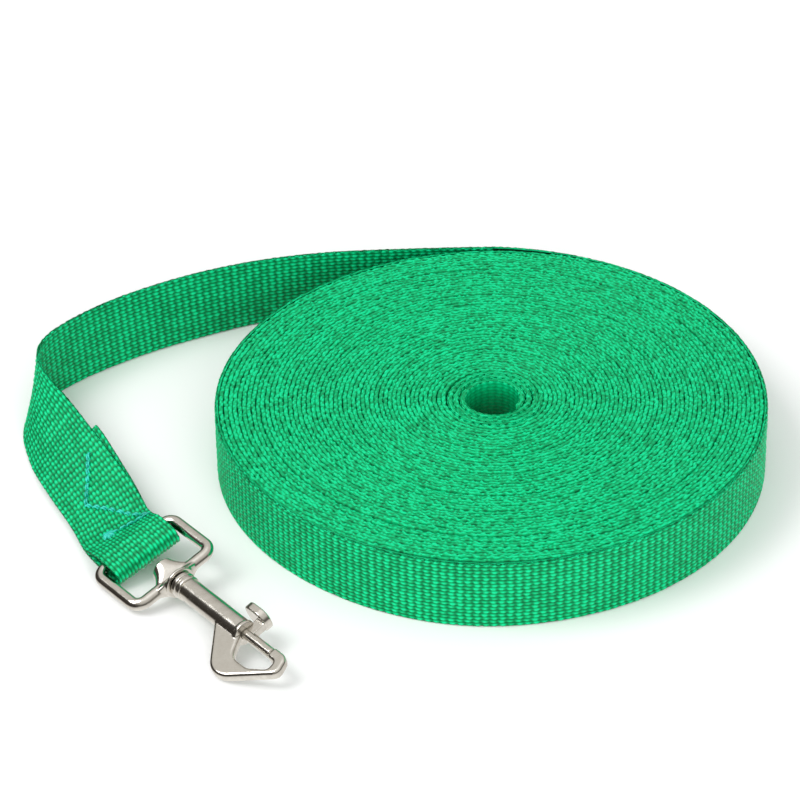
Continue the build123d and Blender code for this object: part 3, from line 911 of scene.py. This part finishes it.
# %% Sewing thread
def thread_material():
    """Bonded teal thread."""
    material, tree, shader = new_material("teal_thread")
    place = add_node(tree, "ShaderNodeTexCoord")
    yarn = use_group(tree, YARN, Vector=place.outputs["Object"], Fineness=0.7)
    colour = ramp(tree, yarn.outputs["Mask"], [(0.2, (0.0, 0.26, 0.18)), (0.7, (0.03, 0.66, 0.52))])
    tree.links.new(colour, shader.inputs["Base Color"])
    shader.inputs["Roughness"].default_value = 0.35
    add_bump(tree, shader, yarn.outputs["Height"], strength=0.3, depth=0.05 * MM)
    return material


TEAL = thread_material()

# %% [markdown]
# ## Nickel plate
# The snap is bright nickel: warm, pale and mirror-like, but not perfect. The casting under it is slightly
# wavy, handling has left a haze of fine scratches, and a few pits show in the plate. The group makes those
# marks, and the plated pieces and the spring wire use it with different strengths.


# %% Plating wear group
WAVE_SCALE = 260.0
HAZE_SCALE = 420.0
SCRATCH_SCALE = (2600.0, 240.0, 900.0)
SCRATCH_TURN = (0.3, 0.5, 0.4)
PIT_SCALE = 520.0
PIT_SIZE = 0.16
PIT_SHARE = 0.10


def wear_group():
    """Handling marks on metal: a haze mask, and a height with waviness, scratches and pits."""
    group, inlet, outlet = new_group(
        "plating_wear", {"Vector": "Vector", "Scratches": "Float"}, {"Haze": "Float", "Height": "Float"}
    )
    place = inlet.outputs["Vector"]
    waves = add_node(group, "ShaderNodeTexNoise", None, Vector=place, Scale=WAVE_SCALE, Detail=1.0)
    haze = add_node(group, "ShaderNodeTexNoise", None, Vector=place, Scale=HAZE_SCALE, Detail=5.0)
    along_scratch = add_node(
        group, "ShaderNodeMapping", None, Vector=place, Scale=SCRATCH_SCALE, Rotation=SCRATCH_TURN
    )
    lines = add_node(
        group, "ShaderNodeTexNoise", None, Vector=along_scratch.outputs[0], Scale=1.0, Detail=4.0
    )
    scratch = maths(group, "MULTIPLY", lines.outputs[0], inlet.outputs["Scratches"])
    pits = add_node(group, "ShaderNodeTexVoronoi", None, Vector=place, Scale=PIT_SCALE)
    pit_mask = add_node(
        group, "ShaderNodeMapRange", None, Value=pits.outputs["Distance"], From_Min=0.0, From_Max=PIT_SIZE
    )
    marks = maths(group, "MULTIPLY_ADD", pit_mask.outputs[0], PIT_SHARE, scratch)
    group.links.new(haze.outputs[0], outlet.inputs["Haze"])
    group.links.new(maths(group, "ADD", marks, waves.outputs[0]), outlet.inputs["Height"])
    return group


WEAR = wear_group()


# %% Nickel plate
HAZE_FROM = 0.3
HAZE_TO = 0.75


def metal_material(name, bright, dull, roughness, scratches):
    """Plated or drawn metal with handling marks; roughness is a (low, high) pair."""
    material, tree, shader = new_material(name)
    place = add_node(tree, "ShaderNodeTexCoord")
    wear = use_group(tree, WEAR, Vector=place.outputs["Object"], Scratches=scratches)
    colour = ramp(tree, wear.outputs["Haze"], [(HAZE_FROM, bright), (HAZE_TO, dull)])
    tree.links.new(colour, shader.inputs["Base Color"])
    shader.inputs["Metallic"].default_value = 1.0
    rough = add_node(
        tree,
        "ShaderNodeMapRange",
        None,
        Value=wear.outputs["Haze"],
        From_Min=HAZE_FROM,
        From_Max=HAZE_TO,
        To_Min=roughness[0],
        To_Max=roughness[1],
    )
    tree.links.new(rough.outputs[0], shader.inputs["Roughness"])
    add_bump(tree, shader, wear.outputs["Height"], strength=0.22, depth=0.2 * MM)
    return material


NICKEL = metal_material(
    "bright_nickel",
    bright=(0.80, 0.775, 0.725),
    dull=(0.66, 0.63, 0.58),
    roughness=(0.10, 0.24),
    scratches=0.12,
)
SPRING_STEEL = metal_material(
    "spring_wire",
    bright=(0.55, 0.55, 0.56),
    dull=(0.42, 0.42, 0.43),
    roughness=(0.22, 0.35),
    scratches=0.3,
)
print("finishes", [material.name for material in (GREEN, TEAL, NICKEL, SPRING_STEEL)])

# %% [markdown]
# ## Putting the pieces in their places
# Each piece gets its finish, rides on its body and stands for the CAD solids that it replaces.


# %% Riding and replacing
def dress(piece, material):
    """Gives a piece its only material."""
    piece.data.materials.clear()
    piece.data.materials.append(material)


for piece in wound_pieces:
    dress(piece, GREEN)
    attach(piece, "strap")
    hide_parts("handle_roll" if piece is handle_piece else "strap_roll")
dress(free_end, GREEN)
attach(free_end, "strap")
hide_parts("strap_tail", "strap_end_fold")
dress(stitching, TEAL)
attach(stitching, "strap")
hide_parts("end_stitching", "handle_stitching")
for node, piece in metal_pieces.items():
    dress(piece, NICKEL)
    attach(piece, METAL[node][3])
    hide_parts(node)
dress(spring, SPRING_STEEL)
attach(spring, "hook")
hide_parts("bolt_spring")
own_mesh(spring)

PATH_POINTS = 120
path_distance = np.linspace(0, LINE_LENGTH, PATH_POINTS)
path_points = strap_frames(path_distance, 0)[0]

# %% [markdown]
# ## Floor and light
# A white table under a soft light from all round gives even, nearly shadowless light. Bright metal mirrors
# whatever is around it and would look like white plastic there, so it is given a studio of its own: pale
# below, a dark band round the horizon, and pale overhead, with a deeper band on one side than on the other.
# Rays that bounce off shiny surfaces see that studio and not the table, and all others the even light.

# %% Floor
FLOOR_SIZE = 6.0
FLOOR_DROP = 0.05 * MM
bpy.ops.object.select_all(action="DESELECT")
bpy.ops.mesh.primitive_plane_add(size=FLOOR_SIZE, location=(0, 0, -FLOOR_DROP))
floor = bpy.context.object
floor.name = "floor"
white, _, white_shader = new_material("white_table")
white_shader.inputs["Base Color"].default_value = (0.93, 0.93, 0.93, 1)
white_shader.inputs["Roughness"].default_value = 0.6
white_shader.inputs["Specular IOR Level"].default_value = 0.2
floor.data.materials.append(white)
floor.visible_glossy = False
print("table", FLOOR_SIZE, "m wide")

# %% World light
GROUND_GLOW = (0.92, 0.91, 0.88)
SOFT_GREY = (0.66, 0.64, 0.60)
UPPER_WALL = (0.50, 0.485, 0.45)
CEILING_GLOW = (1.0, 0.995, 0.97)
DARK_SIDE = [
    (0.0, GROUND_GLOW),
    (0.24, SOFT_GREY),
    (0.34, (0.03, 0.025, 0.02)),
    (0.73, (0.05, 0.045, 0.04)),
    (0.80, UPPER_WALL),
    (0.93, SOFT_GREY),
    (1.0, CEILING_GLOW),
]
PALE_SIDE = [
    (0.0, GROUND_GLOW),
    (0.36, (0.60, 0.58, 0.54)),
    (0.44, (0.10, 0.095, 0.085)),
    (0.60, (0.13, 0.125, 0.11)),
    (0.76, UPPER_WALL),
    (0.93, SOFT_GREY),
    (1.0, CEILING_GLOW),
]
DARK_SIDE_WAY = (-0.78, 0.62, 0.0)
STUDIO_STRENGTH = 1.1
EVEN_STRENGTH = 0.78

world = bpy.data.worlds.new("studio")
bpy.context.scene.world = world
world.use_nodes = True
sky = world.node_tree
sky.nodes.clear()
direction = add_node(sky, "ShaderNodeTexCoord").outputs["Generated"]
split = add_node(sky, "ShaderNodeSeparateXYZ", None, Vector=direction)
height = add_node(sky, "ShaderNodeMapRange", None, Value=split.outputs["Z"], From_Min=-1.0, From_Max=1.0)
facing = add_node(
    sky, "ShaderNodeVectorMath", {"operation": "DOT_PRODUCT"}, i0=direction, i1=DARK_SIDE_WAY
).outputs["Value"]
share = add_node(sky, "ShaderNodeMapRange", None, Value=facing, From_Min=0.1, From_Max=0.5)
studio = add_node(
    sky,
    "ShaderNodeMixRGB",
    None,
    Fac=share.outputs[0],
    Color1=ramp(sky, height.outputs[0], PALE_SIDE),
    Color2=ramp(sky, height.outputs[0], DARK_SIDE),
).outputs[0]
studio_light = add_node(sky, "ShaderNodeBackground", None, Color=studio, Strength=STUDIO_STRENGTH)
even_light = add_node(sky, "ShaderNodeBackground", None, Color=(1, 1, 1, 1), Strength=EVEN_STRENGTH)
both = add_node(
    sky,
    "ShaderNodeMixShader",
    None,
    i0=add_node(sky, "ShaderNodeLightPath").outputs["Is Glossy Ray"],
    i1=even_light.outputs[0],
    i2=studio_light.outputs[0],
)
add_node(sky, "ShaderNodeOutputWorld", None, Surface=both.outputs[0])
print("world light", len(sky.nodes), "nodes")


# %% Studio lights
def softbox(name, place, size, power, mirrored=True):
    """Square area light at a place, turned to the roll's middle."""
    light = bpy.data.lights.new(name, "AREA")
    light.shape = "SQUARE"
    light.size = size
    light.energy = power
    holder = bpy.data.objects.new(name, light)
    bpy.context.scene.collection.objects.link(holder)
    holder.location = place
    holder.rotation_euler = (-Vector(place)).to_track_quat("-Z", "Y").to_euler()
    holder.visible_glossy = mirrored
    print(name, power, "W")


softbox("key_softbox", place=(-0.9, 0.5, 1.3), size=0.9, power=12.0)
softbox("front_fill", place=(-0.6, -1.1, 0.5), size=0.8, power=9.0, mirrored=False)
bpy.context.scene.view_settings.view_transform = "Standard"
